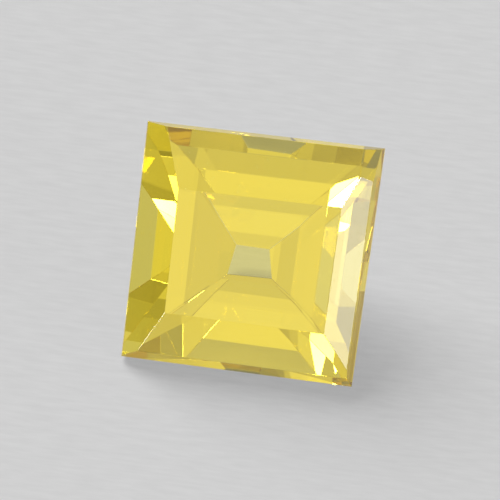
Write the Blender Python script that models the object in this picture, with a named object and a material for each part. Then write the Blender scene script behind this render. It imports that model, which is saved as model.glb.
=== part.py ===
# Yellow sapphire, square step cut, lying on one facet of its pavilion.
# The stone is cut as a lapidary cuts it: a rough block loses one flat slice for each facet.
# Lengths are in metres and angles in degrees. Heights are counted from the top of the girdle.
from collections import namedtuple
from math import atan2, cos, degrees, radians, sin, tan

import bmesh
import bpy
from mathutils import Vector

MM = 0.001

# The whole stone
ROUGH_SIZE = 12.0 * MM
CROWN_HEIGHT = 0.70 * MM
GIRDLE_THICKNESS = 0.09 * MM
PAVILION_DEPTH = 2.77 * MM
CULET = Vector((-0.08 * MM, -0.17 * MM, -PAVILION_DEPTH))

# One side of the square, with its lengths in millimetres.
# heading is the compass direction that the side faces.
# reach is the distance from the stone's axis to the girdle.
# The crown rises in two steps: a narrow steep rim, then the broad bezel up to the table.
# The pavilion falls in four steps, each flatter than the one above it: upper, second, third and keel.
# keel_run and third_run are how far those two steps run out from the culet, one after the other.
Side = namedtuple(
    "Side", "heading reach rim_width rim_height crown_width upper second third keel third_run keel_run"
)

SIDES = {
    "right": Side(-0.9, 2.51, 0.10, 0.39, 0.66, 60.5, 47.9, 41.0, 34.5, 0.56, 0.91),
    "back": Side(90.5, 2.54, 0.07, 0.39, 1.36, 57.9, 44.8, 39.5, 36.2, 0.55, 1.06),
    "left": Side(180.7, 2.55, 0.02, 0.06, 0.92, 77.8, 47.9, 45.2, 15.3, 0.58, 0.29),
    "front": Side(269.7, 2.55, 0.16, 0.31, 1.05, 66.2, 48.4, 43.9, 41.2, 0.16, 0.31),
}

# The lowest facet flattens the stone's point. Its plane passes this high above the point,
# and it takes away the keels of the left and the front side.
TIP_TRIM = 0.25 * MM
TIP_HEADING = 262.3
TIP_SLOPE = 9.6

# One small extra facet on the crown takes off the corner between the right and the back side.
# reach is how far its plane is from the middle of the stone at the top of the girdle, in millimetres.
Facet = namedtuple("Facet", "heading slope reach")
CORNER_FACET = Facet(21.8, 33.7, 1.96)

# The stone leans forward onto the second step of its front side
RESTING_SIDE = "front"
RESTING_STEP = "second"


def compass(heading):
    """The level direction of a heading."""
    return Vector((cos(radians(heading)), sin(radians(heading)), 0.0))


def facet_normal(heading, slope):
    """The way out of a facet: a slope above 0 is on the crown, below 0 on the pavilion, and 90 the girdle."""
    outward = compass(heading) * sin(radians(abs(slope)))
    rise = cos(radians(slope))
    if slope < 0:
        rise = -rise
    return outward + Vector((0.0, 0.0, rise))


def cut(stone, point, normal):
    """Slice away what lies outside one facet, and close the flat face that the slice leaves."""
    everything = stone.verts[:] + stone.edges[:] + stone.faces[:]
    sliced = bmesh.ops.bisect_plane(
        stone, geom=everything, dist=1e-9, plane_co=point, plane_no=normal, clear_outer=True
    )
    rim = [piece for piece in sliced["geom_cut"] if isinstance(piece, bmesh.types.BMEdge)]
    if rim:
        bmesh.ops.contextual_create(stone, geom=rim)


def cut_crown(stone, side):
    """The rim and the bezel of one side, above the girdle."""
    level = compass(side.heading)
    girdle_edge = level * side.reach * MM
    rim_slope = degrees(atan2(side.rim_height, side.rim_width))
    cut(stone, girdle_edge, facet_normal(side.heading, rim_slope))
    rim_edge = girdle_edge - level * side.rim_width * MM + Vector((0.0, 0.0, side.rim_height * MM))
    bezel_rise = CROWN_HEIGHT - side.rim_height * MM
    bezel_run = (side.crown_width - side.rim_width) * MM
    cut(stone, rim_edge, facet_normal(side.heading, degrees(atan2(bezel_rise, bezel_run))))


def step_along(start, heading, run, slope):
    """The point reached from start by going outwards and up along a slope."""
    return start + compass(heading) * run + Vector((0.0, 0.0, run * tan(radians(slope))))


def pavilion_facets(side):
    """The four steps of one side, below the girdle, as (point, normal) pairs by name."""
    girdle_foot = compass(side.heading) * side.reach * MM - Vector((0.0, 0.0, GIRDLE_THICKNESS))
    keel_edge = step_along(CULET, side.heading, side.keel_run * MM, side.keel)
    third_edge = step_along(keel_edge, side.heading, side.third_run * MM, side.third)
    return {
        "upper": (girdle_foot, facet_normal(side.heading, -side.upper)),
        "second": (third_edge, facet_normal(side.heading, -side.second)),
        "third": (keel_edge, facet_normal(side.heading, -side.third)),
        "keel": (CULET, facet_normal(side.heading, -side.keel)),
    }


def cut_stone():
    """The whole stone in its cutting position, with the table up and level."""
    stone = bmesh.new()
    bmesh.ops.create_cube(stone, size=ROUGH_SIZE)
    cut(stone, Vector((0.0, 0.0, CROWN_HEIGHT)), Vector((0.0, 0.0, 1.0)))
    for side in SIDES.values():
        cut(stone, compass(side.heading) * side.reach * MM, facet_normal(side.heading, 90.0))
        cut_crown(stone, side)
        for point, normal in pavilion_facets(side).values():
            cut(stone, point, normal)
    corner_normal = facet_normal(CORNER_FACET.heading, CORNER_FACET.slope)
    cut(stone, corner_normal * CORNER_FACET.reach * MM, corner_normal)
    tip = CULET + Vector((0.0, 0.0, TIP_TRIM))
    cut(stone, tip, facet_normal(TIP_HEADING, -TIP_SLOPE))
    bmesh.ops.recalc_face_normals(stone, faces=stone.faces[:])
    mesh = bpy.data.meshes.new("sapphire")
    stone.to_mesh(mesh)
    stone.free()
    return mesh


def sapphire_material():
    material = bpy.data.materials.new("yellow_sapphire")
    material.use_nodes = True
    shader = material.node_tree.nodes["Principled BSDF"]
    shader.inputs["Base Color"].default_value = (0.90, 0.76, 0.18, 1.0)
    shader.inputs["Roughness"].default_value = 0.02
    shader.inputs["Metallic"].default_value = 0.0
    shader.inputs["IOR"].default_value = 1.77
    return material


def lay_down(stone):
    """Turn the stone so that its resting facet is level and underneath, and centre it on the origin."""
    facets = pavilion_facets(SIDES[RESTING_SIDE])
    normal = facets[RESTING_STEP][1]
    stone.rotation_mode = "QUATERNION"
    stone.rotation_quaternion = normal.rotation_difference(Vector((0.0, 0.0, -1.0)))
    bpy.context.view_layer.update()
    corners = [stone.matrix_world @ vertex.co for vertex in stone.data.vertices]
    lows = [min(corner[axis] for corner in corners) for axis in range(3)]
    highs = [max(corner[axis] for corner in corners) for axis in range(3)]
    stone.location = (-(lows[0] + highs[0]) / 2, -(lows[1] + highs[1]) / 2, -lows[2])


def main():
    for leftover in list(bpy.data.objects):
        bpy.data.objects.remove(leftover, do_unlink=True)
    collection = bpy.data.collections.new("yellow_sapphire")
    bpy.context.scene.collection.children.link(collection)
    stone = bpy.data.objects.new("sapphire", cut_stone())
    stone.data.materials.append(sapphire_material())
    collection.objects.link(stone)
    lay_down(stone)


main()
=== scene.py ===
# %% [markdown]
# # A square step-cut yellow sapphire
# This lesson dresses one cut stone. The stone is a single clear crystal, about 5 mm across,
# ground into flat facets. What the eye sees in it is not paint: it is light that entered through
# the top, bounced between the facets below, and lost its blue on the way. So the lesson is about
# three things. They are the exact facets, the clear coloured crystal, and the soft light around it.

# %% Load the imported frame
from collections import namedtuple
from math import atan2, cos, degrees, exp, pi, radians, sin

import bmesh
import bpy
from mathutils import Matrix, Vector


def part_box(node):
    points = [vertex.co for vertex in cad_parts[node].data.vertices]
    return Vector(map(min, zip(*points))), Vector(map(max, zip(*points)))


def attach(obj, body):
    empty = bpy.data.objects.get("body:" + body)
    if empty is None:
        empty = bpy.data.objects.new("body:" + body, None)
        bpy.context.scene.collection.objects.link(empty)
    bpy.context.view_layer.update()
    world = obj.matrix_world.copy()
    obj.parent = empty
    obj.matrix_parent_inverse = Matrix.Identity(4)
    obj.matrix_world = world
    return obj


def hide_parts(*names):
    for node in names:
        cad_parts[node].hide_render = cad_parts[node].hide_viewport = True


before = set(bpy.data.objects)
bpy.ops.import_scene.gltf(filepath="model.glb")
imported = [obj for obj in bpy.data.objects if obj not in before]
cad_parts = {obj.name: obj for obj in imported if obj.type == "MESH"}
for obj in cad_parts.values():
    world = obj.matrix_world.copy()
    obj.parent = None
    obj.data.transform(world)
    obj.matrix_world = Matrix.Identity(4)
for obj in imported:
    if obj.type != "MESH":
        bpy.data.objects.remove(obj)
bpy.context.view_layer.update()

# %% [markdown]
# ## The cutter's numbers
# A step cut has long straight facets in rows, like stairs. Each side of the square has a narrow
# steep rim and a broad bezel above the girdle, and four steps below it that get flatter towards
# the keel. Hand-cut stones are never quite even, so each side has numbers of its own. One small
# facet more takes off the crown's corner at the back right, and a slanted one trims the tip. The
# numbers could be typed where they are used, but a table of named values lets the camera, the
# cutting and the checks read the same ones.

# %% Sizes of the stone
# Heights are counted from the top of the girdle. In a Side, the lengths are in millimetres and the
# slopes in degrees: heading is the way the side faces, and reach its distance from the stone's axis.
MM = 0.001
CROWN_HEIGHT = 0.70 * MM
GIRDLE_THICKNESS = 0.09 * MM
PAVILION_DEPTH = 2.77 * MM
CULET = Vector((-0.08 * MM, -0.17 * MM, -PAVILION_DEPTH))

Side = namedtuple(
    "Side", "heading reach rim_width rim_height crown_width upper second third keel third_run keel_run"
)
SIDES = {
    "right": Side(-0.9, 2.51, 0.10, 0.39, 0.66, 60.5, 47.9, 41.0, 34.5, 0.56, 0.91),
    "back": Side(90.5, 2.54, 0.07, 0.39, 1.36, 57.9, 44.8, 39.5, 36.2, 0.55, 1.06),
    "left": Side(180.7, 2.55, 0.02, 0.06, 0.92, 77.8, 47.9, 45.2, 15.3, 0.58, 0.29),
    "front": Side(269.7, 2.55, 0.16, 0.31, 1.05, 66.2, 48.4, 43.9, 41.2, 0.16, 0.31),
}

# The plane that trims the tip passes this high above the culet
TIP_TRIM = 0.25 * MM
TIP_HEADING = 262.3
TIP_SLOPE = 9.6

Facet = namedtuple("Facet", "heading slope reach")
CORNER_FACET = Facet(21.8, 33.7, 1.96)
print(len(SIDES), "sides of 7 facets, a facet on one corner, a table and a trimmed tip")


def facet_normal(heading, slope):
    """The way out of a facet. Its slope in degrees is above 0 on the crown and below 0 on the pavilion."""
    spread = sin(radians(abs(slope)))
    rise = cos(radians(slope)) if slope > 0 else -cos(radians(slope))
    return Vector((cos(radians(heading)) * spread, sin(radians(heading)) * spread, rise))


# %% [markdown]
# ## One slice of the lap
# A lapidary holds the stone against a flat spinning lap, and each touch takes away everything
# beyond one plane. Geometry Nodes can do the same thing: a big block is turned so that one of its
# faces is the facet's plane, and a Mesh Boolean takes the block away from the stone. The slice is
# a node group of its own, because every facet of the stone is one more use of it.


# %% Short calls for building node trees
def add_node(tree, kind, **settings):
    """A new node with some of its properties set."""
    node = tree.nodes.new(kind)
    for name, value in settings.items():
        setattr(node, name, value)
    return node


def feed(tree, socket, source):
    """Give a socket either a plain value or the output of another node."""
    if isinstance(source, bpy.types.NodeSocket):
        tree.links.new(source, socket)
    else:
        socket.default_value = source


def maths(tree, operation, *sources):
    """The result of one step of arithmetic."""
    node = add_node(tree, "ShaderNodeMath", operation=operation)
    for socket, source in zip(node.inputs, sources):
        feed(tree, socket, source)
    return node.outputs[0]


def vector(tree, x, y, z):
    """A vector made from three numbers."""
    node = add_node(tree, "ShaderNodeCombineXYZ")
    for socket, source in zip(node.inputs, (x, y, z)):
        feed(tree, socket, source)
    return node.outputs[0]


def offset(tree, point, *moves):
    """A point moved by some vectors."""
    for move in moves:
        node = add_node(tree, "ShaderNodeVectorMath", operation="ADD")
        feed(tree, node.inputs[0], point)
        feed(tree, node.inputs[1], move)
        point = node.outputs[0]
    return point


def scaled(tree, direction, length):
    """A direction multiplied by a length."""
    node = add_node(tree, "ShaderNodeVectorMath", operation="SCALE")
    feed(tree, node.inputs[0], direction)
    feed(tree, node.inputs["Scale"], length)
    return node.outputs[0]


def new_group(name, inputs):
    """A geometry node group with a Stone in and out and some named inputs after it."""
    tree = bpy.data.node_groups.new(name, "GeometryNodeTree")
    tree.interface.new_socket("Stone", in_out="INPUT", socket_type="NodeSocketGeometry")
    tree.interface.new_socket("Stone", in_out="OUTPUT", socket_type="NodeSocketGeometry")
    for label, kind, value in inputs:
        socket = tree.interface.new_socket(label, in_out="INPUT", socket_type="NodeSocket" + kind)
        if value is not None:
            socket.default_value = value
    given = tree.nodes.new("NodeGroupInput").outputs
    result = tree.nodes.new("NodeGroupOutput").inputs
    return tree, given, result


def use_group(tree, group, stone, **values):
    """One use of a node group; a keyword such as rim_width sets the input Rim Width."""
    node = add_node(tree, "GeometryNodeGroup", node_tree=group)
    feed(tree, node.inputs["Stone"], stone)
    for name, value in values.items():
        feed(tree, node.inputs[name.replace("_", " ").title()], value)
    return node.outputs["Stone"]


# %% The slice group
ROUGH_SIZE = 8.0 * MM
BLOCK_SIZE = 30.0 * MM


def make_slice_group():
    """Slope is counted from level: 0 is a table, 90 degrees a girdle facet, more is below the girdle."""
    tree, given, result = new_group(
        "slice_one_facet", [("Point", "Vector", None), ("Heading", "Float", 0.0), ("Slope", "Float", 0.0)]
    )
    block = add_node(tree, "GeometryNodeMeshCube")
    block.inputs["Size"].default_value = (BLOCK_SIZE, BLOCK_SIZE, BLOCK_SIZE)
    raised = add_node(tree, "GeometryNodeTransform")
    raised.inputs["Translation"].default_value = (0.0, 0.0, BLOCK_SIZE / 2)
    tree.links.new(block.outputs["Mesh"], raised.inputs["Geometry"])
    turned = add_node(tree, "GeometryNodeTransform")
    tree.links.new(raised.outputs["Geometry"], turned.inputs["Geometry"])
    tree.links.new(given["Point"], turned.inputs["Translation"])
    tree.links.new(vector(tree, 0.0, given["Slope"], given["Heading"]), turned.inputs["Rotation"])
    less = add_node(tree, "GeometryNodeMeshBoolean", operation="DIFFERENCE", solver="EXACT")
    tree.links.new(given["Stone"], less.inputs["Mesh 1"])
    tree.links.new(turned.outputs["Geometry"], less.inputs["Mesh 2"])
    tree.links.new(less.outputs["Mesh"], result["Stone"])
    return tree


slice_group = make_slice_group()
print("slice group:", len(slice_group.nodes), "nodes")

# %% [markdown]
# ## One side of the square
# A side is seven slices that share a heading. The girdle slice stands upright. The rim and the bezel
# start at its top edge. The pavilion starts from both ends: the upper step hangs from the girdle's
# foot, and the keel, the third and the second step climb out from the culet one after the other.
# The sides could be four copies turned by 90 degrees, but the real ones differ. So the group works
# out the places of its slices, and its inputs are the numbers that a cutter would quote.


# %% The side group
def step_along(tree, start, level, run, slope):
    """The point reached from start by going outwards and up along a slope."""
    rise = maths(tree, "MULTIPLY", run, maths(tree, "TANGENT", slope))
    return offset(tree, start, scaled(tree, level, run), vector(tree, 0.0, 0.0, rise))


def make_side_group():
    sizes = ["Heading", "Reach", "Rim Width", "Rim Height", "Crown Width", "Crown Height"]
    sizes += ["Girdle Thickness", "Upper", "Second", "Third", "Keel", "Third Run", "Keel Run"]
    labels = [(label, "Float", 0.0) for label in sizes] + [("Culet", "Vector", None)]
    tree, given, result = new_group("cut_one_side", labels)
    heading = given["Heading"]
    level = vector(tree, maths(tree, "COSINE", heading), maths(tree, "SINE", heading), 0.0)
    girdle_edge = scaled(tree, level, given["Reach"])
    inwards = scaled(tree, level, maths(tree, "MULTIPLY", given["Rim Width"], -1.0))
    rim_edge = offset(tree, girdle_edge, inwards, vector(tree, 0.0, 0.0, given["Rim Height"]))
    foot_drop = vector(tree, 0.0, 0.0, maths(tree, "MULTIPLY", given["Girdle Thickness"], -1.0))
    girdle_foot = offset(tree, girdle_edge, foot_drop)
    keel_edge = step_along(tree, given["Culet"], level, given["Keel Run"], given["Keel"])
    third_edge = step_along(tree, keel_edge, level, given["Third Run"], given["Third"])
    rim_slope = maths(tree, "ARCTAN2", given["Rim Height"], given["Rim Width"])
    bezel_rise = maths(tree, "SUBTRACT", given["Crown Height"], given["Rim Height"])
    bezel_run = maths(tree, "SUBTRACT", given["Crown Width"], given["Rim Width"])
    bezel_slope = maths(tree, "ARCTAN2", bezel_rise, bezel_run)
    steps = ("Upper", "Second", "Third", "Keel")
    below = {step: maths(tree, "SUBTRACT", pi, given[step]) for step in steps}
    slices = [
        (girdle_edge, pi / 2),
        (girdle_edge, rim_slope),
        (rim_edge, bezel_slope),
        (girdle_foot, below["Upper"]),
        (third_edge, below["Second"]),
        (keel_edge, below["Third"]),
        (given["Culet"], below["Keel"]),
    ]
    stone = given["Stone"]
    for point, slope in slices:
        stone = use_group(tree, slice_group, stone, point=point, heading=heading, slope=slope)
    tree.links.new(stone, result["Stone"])
    return tree


side_group = make_side_group()
print("side group:", len(side_group.nodes), "nodes")

# %% [markdown]
# ## The whole cut
# The outer tree starts from a rough block, takes off the table, and then uses the side group four
# times. The corner facet and the trimmed tip are single slices after that. Slices that meet in one
# point leave corners on top of each other, so these are welded. The crown height, the girdle
# thickness and the culet are shared by all sides, so they are the tree's own inputs, and one change
# to them reaches every facet. The tree ends in Realize Instances and Set Material: what comes out
# is plain mesh with its finish on.


# %% The tree of the whole stone
WELD_DISTANCE = 0.0001 * MM
LEVEL_LIMIT = 0.02


def is_level(tree):
    """1 on a face that points level, which is the girdle while the table is up, and 0 elsewhere."""
    split = add_node(tree, "ShaderNodeSeparateXYZ")
    tree.links.new(add_node(tree, "GeometryNodeInputNormal").outputs["Normal"], split.inputs[0])
    return maths(tree, "LESS_THAN", maths(tree, "ABSOLUTE", split.outputs["Z"]), LEVEL_LIMIT)


def make_stone_tree(material):
    """All the slices in the order of cutting, then the weld, the girdle's mark and the finish."""
    tree, given, result = new_group(
        "square_step_cut",
        [
            ("Crown Height", "Float", CROWN_HEIGHT),
            ("Girdle Thickness", "Float", GIRDLE_THICKNESS),
            ("Culet", "Vector", None),
        ],
    )
    rough = add_node(tree, "GeometryNodeMeshCube")
    rough.inputs["Size"].default_value = (ROUGH_SIZE, ROUGH_SIZE, ROUGH_SIZE)
    table = vector(tree, 0.0, 0.0, given["Crown Height"])
    stone = use_group(tree, slice_group, rough.outputs["Mesh"], point=table)
    for side in SIDES.values():
        stone = use_group(
            tree,
            side_group,
            stone,
            heading=radians(side.heading),
            reach=side.reach * MM,
            rim_width=side.rim_width * MM,
            rim_height=side.rim_height * MM,
            crown_width=side.crown_width * MM,
            crown_height=given["Crown Height"],
            girdle_thickness=given["Girdle Thickness"],
            upper=radians(side.upper),
            second=radians(side.second),
            third=radians(side.third),
            keel=radians(side.keel),
            third_run=side.third_run * MM,
            keel_run=side.keel_run * MM,
            culet=given["Culet"],
        )
    corner = CORNER_FACET
    point = facet_normal(corner.heading, corner.slope) * corner.reach * MM
    stone = use_group(
        tree, slice_group, stone, point=point, heading=radians(corner.heading), slope=radians(corner.slope)
    )
    tip = offset(tree, given["Culet"], vector(tree, 0.0, 0.0, TIP_TRIM))
    stone = use_group(
        tree, slice_group, stone, point=tip, heading=radians(TIP_HEADING), slope=pi - radians(TIP_SLOPE)
    )
    welded = add_node(tree, "GeometryNodeMergeByDistance")
    welded.inputs["Distance"].default_value = WELD_DISTANCE
    tree.links.new(stone, welded.inputs["Geometry"])
    real = add_node(tree, "GeometryNodeRealizeInstances")
    tree.links.new(welded.outputs["Geometry"], real.inputs["Geometry"])
    marked = add_node(tree, "GeometryNodeStoreNamedAttribute", data_type="FLOAT", domain="FACE")
    marked.inputs["Name"].default_value = "girdle"
    tree.links.new(is_level(tree), marked.inputs["Value"])
    tree.links.new(real.outputs["Geometry"], marked.inputs["Geometry"])
    finish = add_node(tree, "GeometryNodeSetMaterial")
    finish.inputs["Material"].default_value = material
    tree.links.new(marked.outputs["Geometry"], finish.inputs["Geometry"])
    tree.links.new(finish.outputs["Geometry"], result["Stone"])
    return tree


# %% Cut the stone
def set_input(modifier, label, value):
    """Set a modifier's input through its socket's identifier."""
    for item in modifier.node_group.interface.items_tree:
        if item.item_type == "SOCKET" and item.in_out == "INPUT" and item.name == label:
            modifier[item.identifier] = value


def plain_mesh(blank, name):
    """The evaluated shape of an object as a mesh of its own."""
    view_layer = bpy.context.view_layer
    view_layer.update()
    evaluated = blank.evaluated_get(bpy.context.evaluated_depsgraph_get())
    mesh = bpy.data.meshes.new_from_object(evaluated)
    mesh.name = name
    return mesh


def cut_stone(material):
    """Run the tree on an empty object and keep what comes out."""
    blank = bpy.data.objects.new("blank", bpy.data.meshes.new("blank"))
    bpy.context.scene.collection.objects.link(blank)
    modifier = blank.modifiers.new("cut", "NODES")
    modifier.node_group = make_stone_tree(material)
    set_input(modifier, "Crown Height", CROWN_HEIGHT)
    set_input(modifier, "Girdle Thickness", GIRDLE_THICKNESS)
    set_input(modifier, "Culet", CULET)
    mesh = plain_mesh(blank, "cut_sapphire")
    bpy.data.objects.remove(blank, do_unlink=True)
    return mesh


# %% [markdown]
# ## The crystal
# Sapphire is corundum. It bends light strongly (index 1.77), so a polished facet is a window from
# one side and a mirror from another. The yellow sits in the body: iron in the crystal takes a
# little more blue out of the light with every millimetre. A Volume Absorption with plain values
# does that. A tinted surface would look like painted glass, because it colours each ray once,
# however long its path.

# %% The colour of the body
REFRACTION = 1.768
BLUE_LOSS = 0.37 / MM
GREEN_LOSS = 0.030 / MM
RED_LOSS = 0.0 / MM


def add_body_colour(tree):
    """A plain absorption that takes the three losses out of the light along its way."""
    body = add_node(tree, "ShaderNodeVolumeAbsorption")
    losses = (RED_LOSS, GREEN_LOSS, BLUE_LOSS)
    density = max(losses)
    body.inputs["Color"].default_value = [1 - loss / density for loss in losses] + [1.0]
    body.inputs["Density"].default_value = density
    tree.links.new(body.outputs["Volume"], tree.nodes["Material Output"].inputs["Volume"])


print("blue left after a path of 5 mm: %.0f percent" % (100 * exp(-BLUE_LOSS * 5 * MM)))


# %% [markdown]
# ## The polish
# No facet is a perfect mirror. The lap leaves fine parallel lines, and a facet is never truly
# flat, so reflections in it swim a little. Both are bumps of about a thousandth of a millimetre
# or less. Noise on Object coordinates gives them: stretched noise for the lines and broad noise
# for the swell. Real geometry would need millions of faces for the same effect. The girdle is left
# satin by the cutter, so the tree that cuts the stone marks its faces with an attribute, and the
# finish is rougher where it reads that mark.

# %% The finish of the facets
SWELL_SIZE = 1.6 * MM
SWELL_DEPTH = 0.0012 * MM
LINE_SPACING = 0.05 * MM
LINE_DEPTH = 0.00003 * MM
LINE_TURN = radians(35)
LINE_STRETCH = (1.0, 0.04, 0.4)
WEAR_SIZE = 0.3 * MM
WEAR_RANGE = (0.35, 0.75)
WEAR_ROUGHNESS = 0.03
GIRDLE_ROUGHNESS = 0.14


def noise(tree, place, size, detail):
    """Noise whose grains are about one size across."""
    node = add_node(tree, "ShaderNodeTexNoise")
    feed(tree, node.inputs["Vector"], place)
    feed(tree, node.inputs["Scale"], 1 / size)
    feed(tree, node.inputs["Detail"], detail)
    return node.outputs["Fac"]


def add_polish(tree, shader):
    """Swell, lapping lines and faint wear on the facets, and the satin girdle."""
    place = add_node(tree, "ShaderNodeTexCoord").outputs["Object"]
    swell = maths(tree, "MULTIPLY", noise(tree, place, SWELL_SIZE, 1.0), SWELL_DEPTH)
    lapped = add_node(tree, "ShaderNodeMapping")
    feed(tree, lapped.inputs["Vector"], place)
    lapped.inputs["Rotation"].default_value = (0.0, LINE_TURN, LINE_TURN)
    lapped.inputs["Scale"].default_value = LINE_STRETCH
    lines = maths(tree, "MULTIPLY", noise(tree, lapped.outputs[0], LINE_SPACING, 2.0), LINE_DEPTH)
    bump = add_node(tree, "ShaderNodeBump")
    feed(tree, bump.inputs["Height"], maths(tree, "ADD", swell, lines))
    feed(tree, bump.inputs["Distance"], 1.0)
    tree.links.new(bump.outputs["Normal"], shader.inputs["Normal"])
    wear = add_node(tree, "ShaderNodeMapRange")
    feed(tree, wear.inputs["Value"], noise(tree, place, WEAR_SIZE, 3.0))
    feed(tree, wear.inputs["From Min"], WEAR_RANGE[0])
    feed(tree, wear.inputs["From Max"], WEAR_RANGE[1])
    feed(tree, wear.inputs["To Max"], WEAR_ROUGHNESS)
    girdle = add_node(tree, "ShaderNodeAttribute", attribute_name="girdle").outputs["Fac"]
    satin = maths(tree, "MULTIPLY", girdle, GIRDLE_ROUGHNESS)
    feed(tree, shader.inputs["Roughness"], maths(tree, "MAXIMUM", wear.outputs["Result"], satin))


def make_crystal():
    """The clear crystal: plain transmission and index, with its body colour and its polish."""
    material = bpy.data.materials.new("sapphire_crystal")
    material.use_nodes = True
    tree = material.node_tree
    shader = tree.nodes["Principled BSDF"]
    shader.inputs["Base Color"].default_value = (1.0, 1.0, 1.0, 1.0)
    shader.inputs["IOR"].default_value = REFRACTION
    shader.inputs["Transmission Weight"].default_value = 1.0
    add_body_colour(tree)
    add_polish(tree, shader)
    return material


crystal = make_crystal()
stone_mesh = cut_stone(crystal)
print("cut stone:", len(stone_mesh.polygons), "facets,", len(stone_mesh.vertices), "corners")

# %% [markdown]
# ## Laying the stone down
# A loose stone cannot balance on its point. It tips over until one facet of the pavilion lies flat,
# here the second step of the front side, and its table then looks up at the viewer. The turn could
# be typed as an angle. It is worked out from that facet's normal instead, so it stays true when a
# slope is changed.


# %% The resting place
def resting_matrix(mesh):
    """The move from the cutting position to the place where the stone lies."""
    front = SIDES["front"]
    down = facet_normal(front.heading, -front.second)
    turn = down.rotation_difference(Vector((0.0, 0.0, -1.0))).to_matrix().to_4x4()
    corners = [turn @ vertex.co for vertex in mesh.vertices]
    lows = [min(corner[axis] for corner in corners) for axis in range(3)]
    highs = [max(corner[axis] for corner in corners) for axis in range(3)]
    centring = Vector((-(lows[0] + highs[0]) / 2, -(lows[1] + highs[1]) / 2, -lows[2]))
    return Matrix.Translation(centring) @ turn


to_rest = resting_matrix(stone_mesh)
stone_mesh.transform(to_rest)
lows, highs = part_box("sapphire")
gap = max(
    max(abs(min(v.co[a] for v in stone_mesh.vertices) - lows[a]) for a in range(3)),
    max(abs(max(v.co[a] for v in stone_mesh.vertices) - highs[a]) for a in range(3)),
)
print("largest difference from the solid's box: %.4f mm" % (gap * 1000))

# %% [markdown]
# ## Facet edges
# No polished edge is a perfect line. The lap leaves a rounding, a few thousandths of a millimetre
# wide, and each one catches the light as a hair-thin bright or dark line between two facets. A
# bump could fake that, but a small bevel on every edge is real shape and takes only a few hundred
# faces. It only takes material away, so the stone keeps its size. The finished stone then rides on
# the frame in place of the plain solid. Diffuse rays pass it by: a clear yellow stone throws yellow
# light on the floor around it, and the wanted floor is neutral, so only its soft shadow stays.

# %% Round the edges
EDGE_WIDTH = 0.006 * MM
EDGE_SEGMENTS = 2
stone = bpy.data.objects.new("sapphire_stone", stone_mesh)
bpy.context.scene.collection.objects.link(stone)
bevel = stone.modifiers.new("edges", "BEVEL")
bevel.width = EDGE_WIDTH
bevel.segments = EDGE_SEGMENTS
bevel.limit_method = "NONE"
rounded = plain_mesh(stone, "sapphire_stone")
stone.modifiers.remove(bevel)
stone.data = rounded
shape = bmesh.new()
shape.from_mesh(rounded)
open_edges = sum(1 for edge in shape.edges if not edge.is_manifold)
volume = shape.calc_volume() / MM**3
print("rounded stone:", len(shape.faces), "faces,", open_edges, "open edges, %.2f mm3" % volume)
shape.free()
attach(stone, "root")
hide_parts("sapphire")
stone.visible_diffuse = False

# %% [markdown]
# ## The floor
# The stone lies on a plain pale surface. It matters more than a floor usually does, because it is
# seen through the stone as well. It is matt and neutral, with faint streaks like those of paper.
# They could be dents in the sheet, but stretched noise a few hundredths lighter and darker looks
# the same from above and keeps the sheet flat under the stone. A hundredth of a millimetre of air
# stays between the two. It is there on a real floor as well, and without it the resting facet
# would stop being a mirror.

# %% The floor and its finish
FLOOR_SIZE = 400 * MM
AIR_GAP = 0.01 * MM
FLOOR_TONES = (0.74, 0.785)
FLOOR_ROUGHNESS = 0.9
STREAK_SIZE = 0.7 * MM
STREAK_STRETCH = (1.0, 5.0, 1.0)
STREAK_RANGE = (0.3, 0.7)


def make_floor_finish():
    """A matt neutral grey with faint streaks."""
    material = bpy.data.materials.new("pale_floor")
    material.use_nodes = True
    tree = material.node_tree
    shader = tree.nodes["Principled BSDF"]
    place = add_node(tree, "ShaderNodeMapping")
    feed(tree, place.inputs["Vector"], add_node(tree, "ShaderNodeTexCoord").outputs["Object"])
    place.inputs["Scale"].default_value = STREAK_STRETCH
    tone = add_node(tree, "ShaderNodeMapRange")
    feed(tree, tone.inputs["Value"], noise(tree, place.outputs[0], STREAK_SIZE, 4.0))
    feed(tree, tone.inputs["From Min"], STREAK_RANGE[0])
    feed(tree, tone.inputs["From Max"], STREAK_RANGE[1])
    feed(tree, tone.inputs["To Min"], FLOOR_TONES[0])
    feed(tree, tone.inputs["To Max"], FLOOR_TONES[1])
    grey = add_node(tree, "ShaderNodeCombineColor")
    for socket in grey.inputs:
        feed(tree, socket, tone.outputs["Result"])
    feed(tree, shader.inputs["Base Color"], grey.outputs[0])
    feed(tree, shader.inputs["Roughness"], FLOOR_ROUGHNESS)
    feed(tree, shader.inputs["Specular IOR Level"], 0.0)
    return material


def make_floor():
    """One large sheet, a hair below the resting facet."""
    mesh = bpy.data.meshes.new("floor")
    shape = bmesh.new()
    bmesh.ops.create_grid(shape, x_segments=1, y_segments=1, size=FLOOR_SIZE / 2)
    bmesh.ops.translate(shape, verts=shape.verts[:], vec=(0.0, 0.0, -AIR_GAP))
    shape.to_mesh(mesh)
    shape.free()
    mesh.materials.append(make_floor_finish())
    floor = bpy.data.objects.new("floor", mesh)
    bpy.context.scene.collection.objects.link(floor)
    print("floor: %.0f mm wide, %.3f mm under the stone" % (FLOOR_SIZE / MM, AIR_GAP / MM))


make_floor()

# %% [markdown]
# ## The camera
# The photo looks almost straight down on the table, with the stone turned a few degrees clockwise.
# The camera could be aimed by eye at the lying stone. It is placed from the stone's own axes
# instead: it stands on the table's normal, leans a little, and is rolled about its own axis. It is
# far away with a long lens, as for a small thing, because the facets match only from there.

# %% Place the camera
PHOTO_SIZE = 500
PIXELS_PER_MM = 46.9
STONE_AT = (252.1, 252.9)
LEAN_RIGHT = 0.129
LEAN_BACK = 0.014
ROLL = radians(7.1)
CAMERA_DISTANCE = 245 * MM
SENSOR = 36.0

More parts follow.
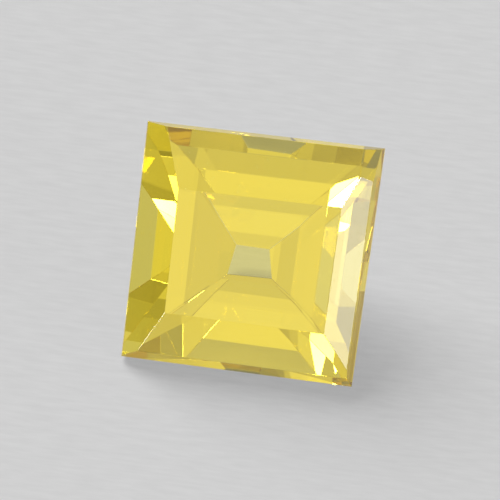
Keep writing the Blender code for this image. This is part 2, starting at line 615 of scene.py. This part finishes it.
turn = to_rest.to_3x3()
centre = to_rest.translation
towards = turn @ Vector((sin(LEAN_RIGHT), sin(LEAN_BACK), 1.0)).normalized()
stone_up = turn @ Vector((0.0, 1.0, 0.0))
stone_up = (stone_up - towards * stone_up.dot(towards)).normalized()
stone_right = stone_up.cross(towards)
camera_up = cos(ROLL) * stone_up - sin(ROLL) * stone_right
camera_right = sin(ROLL) * stone_up + cos(ROLL) * stone_right
field = PHOTO_SIZE / PIXELS_PER_MM * MM
aside = (PHOTO_SIZE / 2 - STONE_AT[0]) / PIXELS_PER_MM * MM
above = (STONE_AT[1] - PHOTO_SIZE / 2) / PIXELS_PER_MM * MM
aim = centre + camera_right * aside + camera_up * above
camera = bpy.data.objects.new("camera", bpy.data.cameras.new("camera"))
camera.data.lens = SENSOR * CAMERA_DISTANCE / field
camera.data.sensor_width = SENSOR
camera.data.clip_start = 1 * MM
bpy.context.scene.collection.objects.link(camera)
axes = Matrix((camera_right, camera_up, towards)).transposed()
camera.matrix_world = Matrix.Translation(aim + towards * CAMERA_DISTANCE) @ axes.to_4x4()
bpy.context.scene.camera = camera
height = degrees(atan2(towards.z, towards.xy.length))
print("lens %.0f mm, camera %.1f degrees above level" % (camera.data.lens, height))

# %% [markdown]
# ## The light
# A gem shows whatever surrounds it, so its light is a room and not one lamp. Gems are photographed
# in a white tent: a soft glow that is brightest overhead, with panels and gaps in it. Small bright
# lamps at the viewer's side are what the white facets look back at. Without them the crystal seems
# dull, however bright the tent is. Tent and lamps could be built from cards, but round patches
# painted on the world are exact and render with less noise. The lamps are shown to glossy and
# transmitted rays alone, so they reach the stone and throw no specks on the floor. The stone's
# soft shadow comes from a broad softbox behind it, which is a real light that only the floor sees.

# %% The light tent
TENT_BASE = 0.18
TENT_RISE = (0.29, -0.16, 0.51)
Light = namedtuple("Light", "azimuth elevation radius strength")
# Soft glows, and gaps with a strength below 0, in order around the stone
PANELS = [
    Light(-160, 28, 34, 0.29),
    Light(-115, 28, 28, 0.57),
    Light(-77, 78, 31, -0.12),
    Light(8, 67, 19, -0.32),
    Light(97, 55, 14, 0.09),
    Light(110, 70, 17, -0.42),
    Light(121, 8, 12, 1.60),
    Light(150, 29, 11, -0.25),
]
# Small bright lamps, in the same order
LAMPS = [
    Light(-169, 28, 1.8, 4),
    Light(-161, 26, 3.3, 18),
    Light(-157, 65, 1.6, 15),
    Light(-149, 34, 2.3, 10),
    Light(-144, 45, 4.0, 4),
    Light(-119, 8, 6.3, 20),
    Light(-114, 23, 1.8, 6),
    Light(-10, 27, 2.3, 4),
    Light(112, 65, 2.1, 18),
    Light(122, 20, 5.3, 4),
    Light(130, 53, 2.2, 39),
    Light(131, 40, 3.3, 39),
    Light(139, 51, 2.1, 3),
    Light(142, 35, 1.9, 66),
    Light(143, 32, 2.2, 7),
    Light(156, 9, 3.7, 15),
    Light(164, 21, 2.0, 13),
    Light(173, 23, 1.6, 73),
    Light(174, 30, 2.8, 24),
]
SOFTBOX = Light(-43, 44, 24, 1.35)
# Where a patch starts to fade and where it ends, as shares of its radius
PANEL_FADE = (0.5, 1.0)
LAMP_FADE = (0.85, 1.1)
DARKEST = 0.02


def sky_direction(azimuth, elevation):
    """Azimuth is counted from straight behind the stone, towards the right."""
    level = cos(radians(elevation))
    return Vector((sin(radians(azimuth)) * level, cos(radians(azimuth)) * level, sin(radians(elevation))))


def make_tent():
    """The world: a glow that rises overhead, with panels, gaps and small lamps as round patches."""
    world = bpy.data.worlds.new("tent")
    world.use_nodes = True
    tree = world.node_tree
    place = add_node(tree, "ShaderNodeTexCoord").outputs["Generated"]

    def along(direction):
        node = add_node(tree, "ShaderNodeVectorMath", operation="DOT_PRODUCT")
        feed(tree, node.inputs[0], place)
        feed(tree, node.inputs[1], direction)
        return node.outputs["Value"]

    def patch(light, fading):
        angle = maths(tree, "ARCCOSINE", along(sky_direction(light.azimuth, light.elevation)))
        fade = add_node(tree, "ShaderNodeMapRange", interpolation_type="SMOOTHSTEP")
        feed(tree, fade.inputs["Value"], angle)
        feed(tree, fade.inputs["From Min"], radians(light.radius * fading[1]))
        feed(tree, fade.inputs["From Max"], radians(light.radius * fading[0]))
        return maths(tree, "MULTIPLY", fade.outputs["Result"], light.strength)

    glow = maths(tree, "ADD", TENT_BASE, along(TENT_RISE))
    for light in PANELS:
        glow = maths(tree, "ADD", glow, patch(light, PANEL_FADE))
    glow = maths(tree, "MAXIMUM", glow, DARKEST)
    ray = add_node(tree, "ShaderNodeLightPath").outputs
    to_stone = maths(tree, "MAXIMUM", ray["Is Glossy Ray"], ray["Is Transmission Ray"])
    for light in LAMPS:
        lamp = maths(tree, "MULTIPLY", patch(light, LAMP_FADE), to_stone)
        glow = maths(tree, "ADD", glow, lamp)
    background = tree.nodes["Background"]
    background.inputs["Color"].default_value = (1.0, 1.0, 1.0, 1.0)
    feed(tree, background.inputs["Strength"], glow)
    return world


def make_softbox():
    """A broad light that only the floor sees; its shadow falls away from its azimuth."""
    softbox = bpy.data.objects.new("softbox", bpy.data.lights.new("softbox", "SUN"))
    softbox.data.angle = radians(2 * SOFTBOX.radius)
    softbox.data.energy = SOFTBOX.strength
    direction = sky_direction(SOFTBOX.azimuth, SOFTBOX.elevation)
    softbox.rotation_euler = direction.to_track_quat("Z", "Y").to_euler()
    softbox.visible_glossy = False
    softbox.visible_transmission = False
    bpy.context.scene.collection.objects.link(softbox)


make_softbox()
scene = bpy.context.scene
scene.world = make_tent()
scene.view_settings.view_transform = "Standard"
# Light runs back and forth inside the stone many times before it comes out
scene.cycles.max_bounces = 24
scene.cycles.transmission_bounces = 24
scene.cycles.glossy_bounces = 12
# The default pattern leaves rows of dots on large flat facets
scene.cycles.sampling_pattern = "TABULATED_SOBOL"
print("tent with", len(PANELS), "panels and gaps,", len(LAMPS), "small lamps and a softbox")
